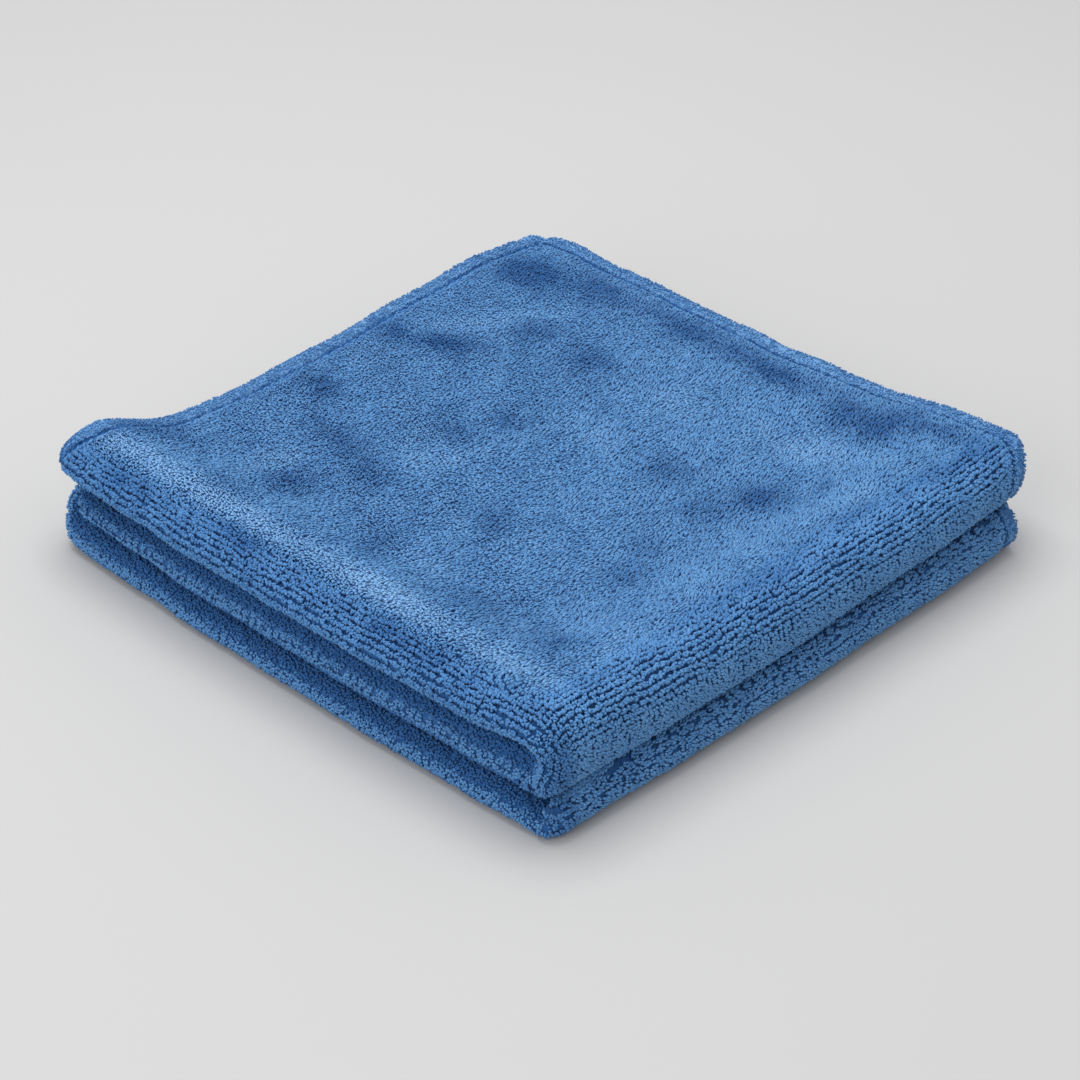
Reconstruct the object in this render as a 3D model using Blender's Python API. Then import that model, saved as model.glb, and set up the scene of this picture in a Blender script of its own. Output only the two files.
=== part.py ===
"""A plush microfibre cloth, folded back and forth into a square of four layers.

The cloth is one closed solid. Its section runs from the free hem of the top
layer, round two bends on the +X side with one on the -X side between them, to
the hem of the bottom layer, which curls up round that bend. The section is
carried from the near-left rim (-Y) to the far hem (+Y), and its thickness is
rounded off at both. +Z is up and the cloth lies on z = 0. Sizes are in
millimetres until the mesh is made, which is in metres.
"""

from collections import namedtuple

import bmesh
import bpy
import numpy as np

MM = 0.001

# Driving sizes of the folded square: where its edges lie, how far the two near
# ones bow out in the middle, and how high the cloth stands
LEFT = -100.0
RIGHT = 101.4
NEAR = -101.6
FAR = 99.6
NEAR_BOW = 2.6
RIGHT_BOW = 2.2
MIDDLE_HEIGHT = 23.3
RIM_HEIGHT = 33.3
FRONT_CORNER = 3.0
RIGHT_CORNER = 15.0
BACK_CORNER = 14.0
LEFT_BLUNT = 0.10  # share of a corner's radius left out at its tip
RIGHT_BLUNT = 0.15

# Hems: the turned band, its rounded edge, and the trough of its stitching
HEM_WIDTH = 6.4
HEM_ROUNDING = 2.4
HEM_TURNS = (20.0, 45.0)  # degrees round the rounded edge, one for each grid line
SEAM_WIDTH = 1.3
SEAM_LINES = np.array([-1.2, 0.0, 1.2])  # grid lines beside the stitching, in seam widths
SEAM_DEPTH = 0.22  # share of the thickness that the stitching pulls in

# The free hem of the bottom layer curls up round the bend beside it
CURL_GAP = 0.5
CURL_SIDE = 4.8
CURL_TOP = 2.4
CURL_END_NEAR = 160.0  # degrees round the bend at the near-left rim
CURL_END_FAR = 80.0
CURL_OPENS = (-98.0, -68.0)  # y over which it opens out
CURL_CORNER = 44.0  # radius of the corner at its end, which it takes on over this share
CURL_ROUNDS = (0.45, 1.0)
CURL_EVEN = 0.9  # share of the curl that its even steps cover
Closing = namedtuple("Closing", "along kept")
CURL_HEM = (Closing(0.96, 0.80), Closing(1.0, 0.34))  # thickness kept where the hem rounds off

# Soft mounds of the top, each a share of the rise from the middle height to
# the rim height. A mound falls off as a bell; a spread of 0 runs right across.
Mound = namedtuple("Mound", "x y spread_x spread_y share")
NEAR_LEFT_ROLL = Mound(0, -86, 0, 19, 1.00)
NEAR_RIGHT_ROLL = Mound(86, 0, 18, 0, 0.84)
MOUNDS = (
    NEAR_LEFT_ROLL,
    NEAR_RIGHT_ROLL,
    Mound(0, 100, 0, 50, 0.54),  # rise to the far hem
    Mound(-92, 85, 62, 76, 1.10),  # back corner, a little higher than the rim
    Mound(-100, -80, 26, 16, 0.20),  # left corner
    Mound(78, 96, 30, 20, 0.45),  # right corner
    Mound(30, 34, 26, 18, 0.10),  # two low waves in the middle
    Mound(-28, -22, 22, 30, 0.12),
)

# Heights of the layers' eight faces as shares of the stack, from the floor up:
# under and over the bottom, third, second and top layer.
MIDDLE = np.array([0.000, 0.238, 0.258, 0.494, 0.514, 0.749, 0.769, 1.000])
LEFT_RIM = np.array([0.000, 0.320, 0.336, 0.374, 0.390, 0.590, 0.735, 1.000])
NEAR_RIM = np.array([0.000, 0.280, 0.292, 0.322, 0.334, 0.680, 0.710, 1.000])
FRONT_BEND = np.array([0.000, 0.190, 0.272, 0.308, 0.320, 0.690, 0.752, 1.000])
RIGHT_BEND = np.array([0.000, 0.200, 0.262, 0.455, 0.468, 0.660, 0.735, 1.000])
TO_RIM = (-62.0, -90.0)  # y over which the middle shares become the rim's
LEFT_TO_NEAR = (-84.0, -30.0)  # x over which the left rim's shares become the near rim's
TO_BEND = (70.0, 91.0)  # x over which all of them become the bends'
FOLD_MOUTH = (84.0, 96.0)  # the same for the two faces inside the lower fold
FRONT_TO_RIGHT = (-100.0, 80.0)  # y over which a bend's front end becomes its right end

# The layers' rims on the near-left side: number of the layer from the floor,
# how far its upper and lower faces are rounded, height of its outermost line
# as a share of its thickness, how far the rim stands back, and the radius of
# its corner at the left. The last one is how far the far hem is drawn in where
# the layer meets its bend on the right.
Layer = namedtuple("Layer", "number upper lower line back corner drawn")
TOP = Layer(3, 15.0, 4.0, 0.36, 0.0, 13.5, 1.4)
SECOND = Layer(2, 9.0, 4.0, 0.42, 0.9, 20.0, 8.6)
THIRD = Layer(1, 2.6, 2.2, 0.50, 19.0, 20.0, 6.6)
BOTTOM = Layer(0, 8.0, 4.2, 0.42, 0.3, 9.5, 4.5)
DRAWS_IN = (62.0, 92.0)  # x over which the far hems draw in
END_ROUNDNESS = 1.5  # how late the far end of a bend on the right draws in towards its layers

# The third layer's rim stands back under that of the second. At the bend on
# the right it comes out.
THIRD_COMES_OUT = (95.0, 100.5)

# The bends: the layers that they join, their side, how far out each reaches
# from the centre, how much of that is the half turn, and how full the lower
# half of the turn is: 1 for a quarter ellipse, and less for a squarer one.
Bend = namedtuple("Bend", "above below side reach depth lower_power")
UPPER_BEND = Bend(TOP, SECOND, 1, RIGHT, 9.2, 0.60)
LEFT_BEND = Bend(SECOND, THIRD, -1, 95.0, 6.2, 1.0)
LOWER_BEND = Bend(THIRD, BOTTOM, 1, RIGHT + 1.2, 6.6, 1.0)
INNER_DEPTH = 1.1  # depth of a bend's inside over half its height

# Grid lines that all the layers share
ALONG = (-84, -75, -64, -49, -32, -14, 5, 24, 42, 57, 69, 78, 85, 90)
ACROSS = (-70, -60, -48, -34, -18, 0, 18, 35, 49, 60, 68, 75)
BESIDE_HEM = 0.5  # share of the way from ACROSS to the stitching
BESIDE_RIM = np.array([0.25, 0.5, 0.75])  # shares of the way from a rim's rounding to ACROSS
RIM_STEPS = 5
HEM_STEPS = 3
BEND_STEPS = 9
CURL_STEPS = 6


def s_curve(value, start, end):
    """0 up to start, 1 from end on, and a soft S between them."""
    t = np.clip((value - start) / (end - start), 0.0, 1.0)
    return t * t * (3.0 - 2.0 * t)


def bell(value, centre, spread):
    if spread == 0:
        return np.ones_like(value)
    return np.exp(-(((value - centre) / spread) ** 2))


def stack_height(x, y):
    """Height of the folded cloth. What two mounds share counts once."""
    x = np.minimum(x, NEAR_RIGHT_ROLL.x)
    y = np.maximum(y, NEAR_LEFT_ROLL.y)
    level = np.ones_like(x + y)
    for m in MOUNDS:
        level = level * (1.0 - m.share * bell(x, m.x, m.spread_x) * bell(y, m.y, m.spread_y))
    return RIM_HEIGHT - (RIM_HEIGHT - MIDDLE_HEIGHT) * level


def near_rim(x):
    return NEAR - NEAR_BOW * (1.0 - (x / LEFT) ** 2)


def set_back(layer, x):
    return layer.back * (1.0 - s_curve(x, *THIRD_COMES_OUT))


def face_height(face, x, y):
    """Height of one of the eight faces at points of the plan."""
    at_rim = s_curve(y, *TO_RIM)
    at_bend = s_curve(x, *(FOLD_MOUTH if face in (1, 2) else TO_BEND))
    rim = LEFT_RIM[face] + (NEAR_RIM[face] - LEFT_RIM[face]) * s_curve(x, *LEFT_TO_NEAR)
    share = MIDDLE[face] + (rim - MIDDLE[face]) * at_rim
    far = np.clip((y - FRONT_TO_RIGHT[0]) / (FRONT_TO_RIGHT[1] - FRONT_TO_RIGHT[0]), 0.0, 1.0)
    bend = FRONT_BEND[face] + (RIGHT_BEND[face] - FRONT_BEND[face]) * far
    share = share + (bend - share) * at_bend
    return share * stack_height(x, y)


def layer_faces(layer, x, y):
    return face_height(2 * layer.number, x, y), face_height(2 * layer.number + 1, x, y)


def seam(distance):
    """Share of the thickness that is left at a distance from a hemmed edge."""
    return 1.0 - SEAM_DEPTH * np.exp(-(((distance - HEM_WIDTH) / SEAM_WIDTH) ** 2))


class Flat:
    """The nearly level run of one layer. face_up says which way the cloth's face looks."""

    def __init__(self, layer, xs, face_up, kept=None):
        self.layer = layer
        self.x = np.array(xs, float)[:, None]
        self.face_up = face_up
        self.kept = np.ones_like(self.x) if kept is None else np.array(kept)[:, None]

    def rims(self):
        """Rounding of the face and of the back, outermost line, left corner, set-back, drawing in."""
        layer = self.layer
        row = (layer.upper, layer.lower, layer.line, layer.corner)
        if not self.face_up:
            row = (layer.lower, layer.upper, 1.0 - layer.line, layer.corner)
        drawn = layer.drawn * s_curve(self.x, *DRAWS_IN)
        return np.hstack([np.tile(row, (len(self.x), 1)), set_back(layer, self.x), drawn])

    def sides(self, y):
        x = self.x + 0.0 * y
        low, high = layer_faces(self.layer, x, y)
        if self.face_up:
            return (x, high), (x, low)
        return (x, low), (x, high)


class Turn:
    """A half turn between two layers: half ellipses for its outside and its inside."""

    def __init__(self, bend, face_out):
        self.bend = bend
        self.face_out = face_out
        self.angle = np.radians(np.linspace(90.0, -90.0, BEND_STEPS))[:, None]
        self.x = bend.side * (bend.reach - bend.depth * (1.0 - np.cos(self.angle)))
        self.kept = np.ones_like(self.x)

    def rims(self):
        above, below = self.bend.above, self.bend.below
        down = (1.0 - np.sin(self.angle)) / 2.0
        start = np.array([above.upper, above.lower, 1.0 - above.line, above.corner])
        end = np.array([below.lower, below.upper, below.line, below.corner])
        outer, inner, line, corner = np.split(start + (end - start) * down, 4, axis=1)
        back = set_back(above, self.x) * (1.0 - down) + set_back(below, self.x) * down
        layer_drawn = np.where(self.angle > 0.0, above.drawn, below.drawn)
        drawn = layer_drawn * np.abs(np.sin(self.angle)) ** END_ROUNDNESS * s_curve(self.x, *DRAWS_IN)
        if self.face_out:
            return np.hstack([outer, inner, 1.0 - line, corner, back, drawn])
        return np.hstack([inner, outer, line, corner, back, drawn])

    def start_x(self, y):
        x = self.bend.side * (self.bend.reach - self.bend.depth) + 0.0 * y
        if self.bend.side > 0:
            x = x + RIGHT_BOW * (1.0 - (y / NEAR) ** 2)
        return x

    def sides(self, y):
        x = self.start_x(y)
        above_low, above_high = layer_faces(self.bend.above, x, y)
        below_low, below_high = layer_faces(self.bend.below, x, y)
        out_half = (above_high - below_low) / 2.0
        in_half = (above_low - below_high) / 2.0
        power = np.where(self.angle < 0.0, self.bend.lower_power, 1.0)
        out_x = x + self.bend.side * self.bend.depth * np.cos(self.angle) ** power
        in_x = x + self.bend.side * in_half * INNER_DEPTH * np.cos(self.angle)
        outside = (out_x, (above_high + below_low) / 2.0 + out_half * np.sin(self.angle))
        inside = (in_x, (above_low + below_high) / 2.0 + in_half * np.sin(self.angle))
        return (outside, inside) if self.face_out else (inside, outside)


class Curl:
    """The end of the bottom layer, which follows the outside of the bend above it."""

    def __init__(self, turn, layer):
        self.turn = turn
        self.layer = layer
        # Even steps, then closer ones where the hem is rounded off.
        closing = np.array(CURL_HEM)
        self.along = np.append(np.linspace(0.0, CURL_EVEN, CURL_STEPS), closing[:, 0])[:, None]
        self.kept = np.append(np.ones(CURL_STEPS), closing[:, 1])[:, None]
        turned = np.radians(CURL_END_NEAR) * self.along
        bend = turn.bend
        out = (bend.depth + CURL_GAP + CURL_SIDE) * np.sin(turned)
        self.x = bend.side * (bend.reach - bend.depth + out)

    def rims(self):
        layer = self.layer
        start = np.array([layer.lower, layer.upper, 1.0 - layer.line, layer.corner, layer.back, 0.0])
        end = np.array([HEM_ROUNDING, HEM_ROUNDING, 0.5, layer.corner, 0.0, 0.0])
        rims = start + (end - start) * self.along
        rims[:, 3:4] += (CURL_CORNER - layer.corner) * s_curve(self.along, *CURL_ROUNDS)
        return rims

    def sides(self, y):
        bend = self.turn.bend
        x = self.turn.start_x(y)
        _, bend_top = layer_faces(bend.above, x, y)
        bend_bottom, _ = layer_faces(bend.below, x, y)
        bottom, top = layer_faces(self.layer, x, y)
        middle = (bend_top + bend_bottom) / 2.0
        opened = s_curve(y, *CURL_OPENS)
        end = np.radians(CURL_END_NEAR + (CURL_END_FAR - CURL_END_NEAR) * opened)
        turned = end * self.along
        out, down = bend.side * np.sin(turned), -np.cos(turned)
        in_half = middle - top
        out_half = np.where(down < 0.0, middle - bottom, in_half + CURL_TOP)
        in_depth = bend.depth + CURL_GAP
        inside = (x + out * in_depth, middle + down * in_half)
        outside = (x + out * (in_depth + CURL_SIDE), middle + down * out_half)
        return outside, inside


def corners(x, left_radius, right_radius):
    """How far a rim draws in at its two ends, as nearly quarter circles."""
    drawn = 0.0
    for inwards, radius, blunt in ((x - LEFT, left_radius, LEFT_BLUNT), (RIGHT - x, right_radius, RIGHT_BLUNT)):
        t = np.clip(inwards / radius + blunt, 0.0, 1.0)
        drawn = drawn + radius * (1.0 - np.sqrt(1.0 - (1.0 - t) ** 2))
    return drawn


def cross_rounds(x, rims, kept):
    """The closed round of points at each station, across the face and back again.

    Gives each point's y and its place from the cloth's back (0) to its face (1).
    """
    face_reach, back_reach, line, corner, back, drawn = np.split(rims, 6, axis=1)
    near = near_rim(x) + back + corners(x, corner, FRONT_CORNER)
    far = FAR - drawn - corners(x, BACK_CORNER, RIGHT_CORNER)
    near_turn = np.radians(np.linspace(0.0, 90.0, RIM_STEPS + 1))[None, :]
    far_turn = np.radians(np.linspace(90.0, 0.0, HEM_STEPS + 1))[None, 1:]
    across = np.array(ACROSS, float)[None, :] + 0.0 * x
    hem = HEM_WIDTH + SEAM_WIDTH * SEAM_LINES[None, ::-1] + 0.0 * x

    def half_round(reach):
        """From the near-left rim to the far hem: y, and the share of the thickness kept."""
        rounded = near + reach * (1.0 - np.cos(near_turn))
        beside = rounded[:, -1:] + (across[:, :1] - rounded[:, -1:]) * BESIDE_RIM
        before_hem = across[:, -1:] + ((far - hem)[:, :1] - across[:, -1:]) * BESIDE_HEM
        hem_edge = far - HEM_ROUNDING * (1.0 - np.cos(far_turn))
        y = np.hstack([rounded, beside, across, before_hem, far - hem, hem_edge])
        full = np.ones_like(np.hstack([beside, across, before_hem]))
        share = np.hstack([np.sin(near_turn) + 0.0 * x, full, seam(hem), np.sin(far_turn) + 0.0 * x])
        return y, share

    face_y, face_share = half_round(face_reach)
    back_y, back_share = half_round(back_reach)
    face_line = line + (0.5 - line) * s_curve(face_y, NEAR, FAR)
    back_line = line + (0.5 - line) * s_curve(back_y, NEAR, FAR)
    face_place = face_line + (1.0 - face_line) * face_share
    back_place = back_line * (1.0 - back_share)
    y = np.hstack([face_y, back_y[:, -2:0:-1]])
    place = np.hstack([face_place, back_place[:, -2:0:-1]])
    return y, 0.5 + (place - 0.5) * kept


def cloth_points():
    """Every point of the cloth, one row for each station of the section."""
    # From the free hem of the top layer inwards: its rounding, its stitching, the rest.
    hem_turn = np.radians(HEM_TURNS)
    seam_x = HEM_WIDTH + SEAM_WIDTH * SEAM_LINES
    free_x = np.concatenate([LEFT + HEM_ROUNDING * (1.0 - np.cos(hem_turn)), LEFT + seam_x, ALONG])
    free_kept = np.concatenate([np.sin(hem_turn), seam(seam_x), np.ones(len(ALONG))])
    left_turn = Turn(LEFT_BEND, face_out=False)
    stretches = (
        Flat(TOP, free_x, True, free_kept),
        Turn(UPPER_BEND, face_out=True),
        Flat(SECOND, ALONG[::-1], False),
        left_turn,
        Flat(THIRD, ALONG, True),
        Turn(LOWER_BEND, face_out=True),
        Flat(BOTTOM, ALONG[::-1], False),
        Curl(left_turn, BOTTOM),
    )
    rows = []
    for stretch in stretches:
        y, place = cross_rounds(stretch.x, stretch.rims(), stretch.kept)
        (face_x, face_z), (back_x, back_z) = stretch.sides(y)
        x = back_x + (face_x - back_x) * place
        z = back_z + (face_z - back_z) * place
        rows.append(np.stack([x, y, z], axis=2))
    return np.concatenate(rows)


def ring_faces(rings, around):
    """Quads between neighbouring rounds, and a strip across each free hem."""
    ring = np.arange(rings - 1)[:, None] * around
    spot = np.arange(around)[None, :]
    after = (spot + 1) % around
    quads = np.stack([ring + spot, ring + after, ring + around + after, ring + around + spot], axis=2)
    half = around // 2
    there = np.arange(half)
    across = (around - there) % around
    strip = np.stack([there, across, (across - 1) % around, there + 1], axis=1)
    strips = np.concatenate([strip, strip[:, ::-1] + (rings - 1) * around])
    faces = [quad.tolist() for quad in np.concatenate([quads.reshape(-1, 4), strips])]
    # The first and last pieces of a strip meet the rim in a triangle.
    return [list(dict.fromkeys(face)) for face in faces]


def cloth_material():
    material = bpy.data.materials.new("blue_plush")
    material.use_nodes = True
    shader = material.node_tree.nodes["Principled BSDF"]
    shader.inputs["Base Color"].default_value = (0.070, 0.215, 0.500, 1.0)
    shader.inputs["Roughness"].default_value = 0.95
    shader.inputs["Metallic"].default_value = 0.0
    return material


def make_cloth():
    points = cloth_points()
    rings, around, _ = points.shape
    points = points.reshape(-1, 3)
    low, high = points.min(axis=0), points.max(axis=0)
    # The origin is under the middle of the folded square.
    points = (points - [(low[0] + high[0]) / 2.0, (low[1] + high[1]) / 2.0, low[2]]) * MM
    mesh = bpy.data.meshes.new("cloth")
    mesh.from_pydata(points.tolist(), [], ring_faces(rings, around))
    shape = bmesh.new()
    shape.from_mesh(mesh)
    bmesh.ops.recalc_face_normals(shape, faces=shape.faces)
    shape.to_mesh(mesh)
    shape.free()
    mesh.shade_smooth()
    mesh.materials.append(cloth_material())
    cloth = bpy.data.objects.new("cloth", mesh)
    bpy.context.collection.objects.link(cloth)
    return cloth


for old in list(bpy.data.objects):
    bpy.data.objects.remove(old, do_unlink=True)
make_cloth()
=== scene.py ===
import math

import bpy
import numpy as np
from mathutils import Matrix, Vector


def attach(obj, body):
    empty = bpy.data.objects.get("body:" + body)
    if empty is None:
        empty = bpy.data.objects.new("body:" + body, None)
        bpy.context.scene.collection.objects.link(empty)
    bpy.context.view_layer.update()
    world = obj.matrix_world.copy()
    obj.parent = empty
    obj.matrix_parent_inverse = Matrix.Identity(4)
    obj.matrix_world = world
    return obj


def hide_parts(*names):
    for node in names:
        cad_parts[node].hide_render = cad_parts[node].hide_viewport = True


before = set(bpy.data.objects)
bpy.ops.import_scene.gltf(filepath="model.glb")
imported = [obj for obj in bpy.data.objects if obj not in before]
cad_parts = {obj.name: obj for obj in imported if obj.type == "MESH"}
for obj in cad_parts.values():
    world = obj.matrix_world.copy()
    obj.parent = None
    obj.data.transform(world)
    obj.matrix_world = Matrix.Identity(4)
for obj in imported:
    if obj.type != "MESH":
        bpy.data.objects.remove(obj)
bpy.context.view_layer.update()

# A plush microfibre cloth folded into a square of four layers. Sizes are in mm
# until a mesh is made. The cloth's fine surface repeats the folded section of
# the solid, a little inside it, and the pile stands on that surface.
mm = 0.001
planShift = np.array([2.258353, -2.29675, 0.0])  # from the folding plan to the frame's origin

cloth = {
    "left": -100.0, "right": 101.4, "near": -101.6, "far": 99.6,
    "nearBow": 2.6, "rightBow": 2.2,  # how far the two near sides swell
    "middleHeight": 23.3, "rimHeight": 33.3,
    "ridge": 86.0,  # the top stays level outside the two near ridges
    "frontCorner": 3.0, "rightCorner": 15.0, "backCorner": 14.0,  # radii
    "leftBlunt": 0.10, "rightBlunt": 0.15,  # how blunt the corners begin
    "drawsIn": (62.0, 92.0), "endRoundness": 1.5,  # of the far hems towards the bends' round ends
    "innerDepth": 1.1,  # depth of a bend's inside for half its height
    "pileInset": 1.05,  # the ground of the pile lies this far inside
}
hem = {
    "width": 6.4, "rounding": 2.4,
    "seamWidth": 1.3, "seamDepth": 0.30,  # the trough of the sewing
    "seamBare": 0.70,  # no tufts this near to the sewing
    "raise": 0.7, "raiseEnds": (1.3, 0.5),  # the turned band stands out
}
curl = {
    "gap": 0.5, "side": 4.8, "top": 2.4,  # clear of the bend, thickness beside and over it
    "endNear": 160.0, "endFar": 80.0, "opens": (-98.0, -68.0),  # degrees round the bend, over y
    "corner": 44.0, "rounds": (0.45, 1.0),  # radius of the near corner, reached along the curl
    "closes": 0.9, "endThickness": 0.34,  # where the hem rounds off, and what is left
}

# mounds of the top: x, y, spread in x, spread in y (0 = right across), share of the rise
mounds = (
    (0, -86, 0, 19, 1.00), (86, 0, 18, 0, 0.84), (0, 100, 0, 50, 0.54), (-92, 85, 62, 76, 1.10),
    (-100, -80, 26, 16, 0.20), (78, 96, 30, 20, 0.45), (30, 34, 26, 18, 0.10),
    (-28, -22, 22, 30, 0.12),
)

# heights of the eight faces from the floor up, as shares of the stack
faceShares = {
    "middle": (0.000, 0.238, 0.258, 0.494, 0.514, 0.749, 0.769, 1.000),
    "leftRim": (0.000, 0.320, 0.336, 0.374, 0.390, 0.590, 0.735, 1.000),
    "nearRim": (0.000, 0.280, 0.292, 0.322, 0.334, 0.680, 0.710, 1.000),
    "frontBend": (0.000, 0.190, 0.272, 0.308, 0.320, 0.690, 0.752, 1.000),
    "rightBend": (0.000, 0.200, 0.262, 0.455, 0.468, 0.660, 0.735, 1.000),
}
shareRuns = {
    "toRim": (-62.0, -90.0), "leftToNear": (-84.0, -30.0), "toBend": (70.0, 91.0),
    "foldMouth": (84.0, 96.0), "frontToRight": (-100.0, 80.0), "thirdComesOut": (95.0, 100.5),
}

# layers: number from the floor, rounding of the upper and lower face, height of
# the outermost line, how far the rim stands back, radius of the left corner, and
# how far the far hem draws in at the bend on the right
layerKeys = ("number", "upperRound", "lowerRound", "line", "back", "corner", "drawn")
topLayer, secondLayer, thirdLayer, bottomLayer = (dict(zip(layerKeys, row)) for row in (
    (3, 15.0, 4.0, 0.36, 0.0, 13.5, 1.4),
    (2, 9.0, 4.0, 0.42, 0.9, 20.0, 8.6),
    (1, 2.6, 2.2, 0.50, 19.0, 20.0, 6.6),
    (0, 8.0, 4.2, 0.42, 0.3, 9.5, 4.5)))

# bends: fullness is the power that fills out the lower half
bendKeys = ("above", "below", "side", "reach", "depth", "fullness")
upperBend, leftBend, lowerBend = (dict(zip(bendKeys, row)) for row in (
    (topLayer, secondLayer, 1, 101.4, 9.2, 0.60),
    (secondLayer, thirdLayer, -1, 95.0, 6.2, 1.0),
    (thirdLayer, bottomLayer, 1, 102.6, 6.6, 1.0)))


def sCurve(value, start, end):  # 0 up to start, 1 from end on, a soft S between
    t = np.clip((value - start) / (end - start), 0.0, 1.0)
    return t * t * (3.0 - 2.0 * t)


def bell(value, centre, spread):  # 1 at the centre, falling off as a bell, or 1 all along
    return np.ones_like(value) if spread == 0 else np.exp(-(((value - centre) / spread) ** 2))


def stackHeight(x, y):  # rim height less the sag, which each mound fills by its share
    x, y = np.minimum(x, cloth["ridge"]), np.maximum(y, -cloth["ridge"])
    level = np.ones_like(x + y)
    for mx, my, spreadX, spreadY, share in mounds:
        level = level * (1.0 - share * bell(x, mx, spreadX) * bell(y, my, spreadY))
    return cloth["rimHeight"] - (cloth["rimHeight"] - cloth["middleHeight"]) * level


def nearRim(x):  # y of the near rim, a parabola that swells in the middle
    return cloth["near"] - cloth["nearBow"] * (1.0 - (x / cloth["left"]) ** 2)


def setBack(layer, x):  # how far the rim stands back, until it comes out at the front corner
    return layer["back"] * (1.0 - sCurve(x, *shareRuns["thirdComesOut"]))


def faceHeight(face, x, y):
    # Height of one of the eight faces: its share of the stack, blended from the
    # middle to the rims and the bends, times the height of the stack
    inMouth = face in (1, 2)  # the two faces in the lower fold
    atRim = sCurve(y, *shareRuns["toRim"])
    atBend = sCurve(x, *shareRuns["foldMouth" if inMouth else "toBend"])
    s = {name: row[face] for name, row in faceShares.items()}
    rim = s["leftRim"] + (s["nearRim"] - s["leftRim"]) * sCurve(x, *shareRuns["leftToNear"])
    share = s["middle"] + (rim - s["middle"]) * atRim
    a, b = shareRuns["frontToRight"]
    bend = s["frontBend"] + (s["rightBend"] - s["frontBend"]) * np.clip((y - a) / (b - a), 0.0, 1.0)
    return (share + (bend - share) * atBend) * stackHeight(x, y)


def layerFaces(layer, x, y):  # heights of a layer's lower and upper face
    low = 2 * layer["number"]
    return faceHeight(low, x, y), faceHeight(low + 1, x, y)


def seamDip(distance):  # share of the thickness left beside the hem's sewing
    return 1.0 - hem["seamDepth"] * np.exp(-(((distance - hem["width"]) / hem["seamWidth"]) ** 2))


def hemRound(distance):  # quarter circle at a hemmed edge
    t = np.clip(1.0 - distance / hem["rounding"], 0.0, 1.0)
    return np.sqrt(1.0 - t * t)


def rimRow(layer, faceUp):  # rounding of face and back, height of the outermost line, corner
    if faceUp:
        return [layer["upperRound"], layer["lowerRound"], layer["line"], layer["corner"]]
    return [layer["lowerRound"], layer["upperRound"], 1.0 - layer["line"], layer["corner"]]


def flatRun(layer, xs, faceUp, kept=None):
    # One nearly level layer: its two faces are the layer's heights over x and y
    x = np.array(xs, float)[:, None]
    drawn = layer["drawn"] * sCurve(x, *cloth["drawsIn"])
    rims = np.hstack([np.tile(rimRow(layer, faceUp), (len(x), 1)), setBack(layer, x), drawn])

    def sides(y):
        px = x + 0.0 * y
        low, high = layerFaces(layer, px, y)
        return ((px, high), (px, low)) if faceUp else ((px, low), (px, high))

    return x, rims, (np.ones_like(x) if kept is None else np.array(kept)[:, None]), sides


def bendStart(bend, y):  # x where the turn begins; on the right it swells as a parabola
    x = bend["side"] * (bend["reach"] - bend["depth"]) + 0.0 * y
    return x + cloth["rightBow"] * (1.0 - (y / cloth["near"]) ** 2) if bend["side"] > 0 else x


def turnRun(bend, faceOut, steps):
    # Half turn between two layers: one half ellipse outside and a smaller one inside
    above, below, side, reach, depth, fullness = (bend[key] for key in bendKeys)
    angle = np.radians(np.linspace(90.0, -90.0, steps))[:, None]
    x = side * (reach - depth * (1.0 - np.cos(angle)))
    down = (1.0 - np.sin(angle)) / 2.0
    start = np.array([*rimRow(above, True)[:2], 1.0 - above["line"], above["corner"]])
    end = np.array([below["lowerRound"], below["upperRound"], below["line"], below["corner"]])
    outer, inner, line, corner = np.split(start + (end - start) * down, 4, axis=1)
    back = setBack(above, x) * (1.0 - down) + setBack(below, x) * down
    drawn = np.where(angle > 0.0, above["drawn"], below["drawn"])
    drawn = drawn * np.abs(np.sin(angle)) ** cloth["endRoundness"] * sCurve(x, *cloth["drawsIn"])
    first = [outer, inner, 1.0 - line] if faceOut else [inner, outer, line]
    rims = np.hstack(first + [corner, back, drawn])

    def sides(y):
        px = bendStart(bend, y)
        aboveLow, aboveHigh = layerFaces(above, px, y)
        belowLow, belowHigh = layerFaces(below, px, y)
        outHalf, inHalf = (aboveHigh - belowLow) / 2.0, (aboveLow - belowHigh) / 2.0
        full = np.where(angle < 0.0, fullness, 1.0)
        outX = px + side * depth * np.maximum(np.cos(angle), 0.0) ** full
        inX = px + side * inHalf * cloth["innerDepth"] * np.cos(angle)
        outside = (outX, (aboveHigh + belowLow) / 2.0 + outHalf * np.sin(angle))
        inside = (inX, (aboveLow + belowHigh) / 2.0 + inHalf * np.sin(angle))
        return (outside, inside) if faceOut else (inside, outside)

    return x, rims, np.ones_like(x), sides


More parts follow.
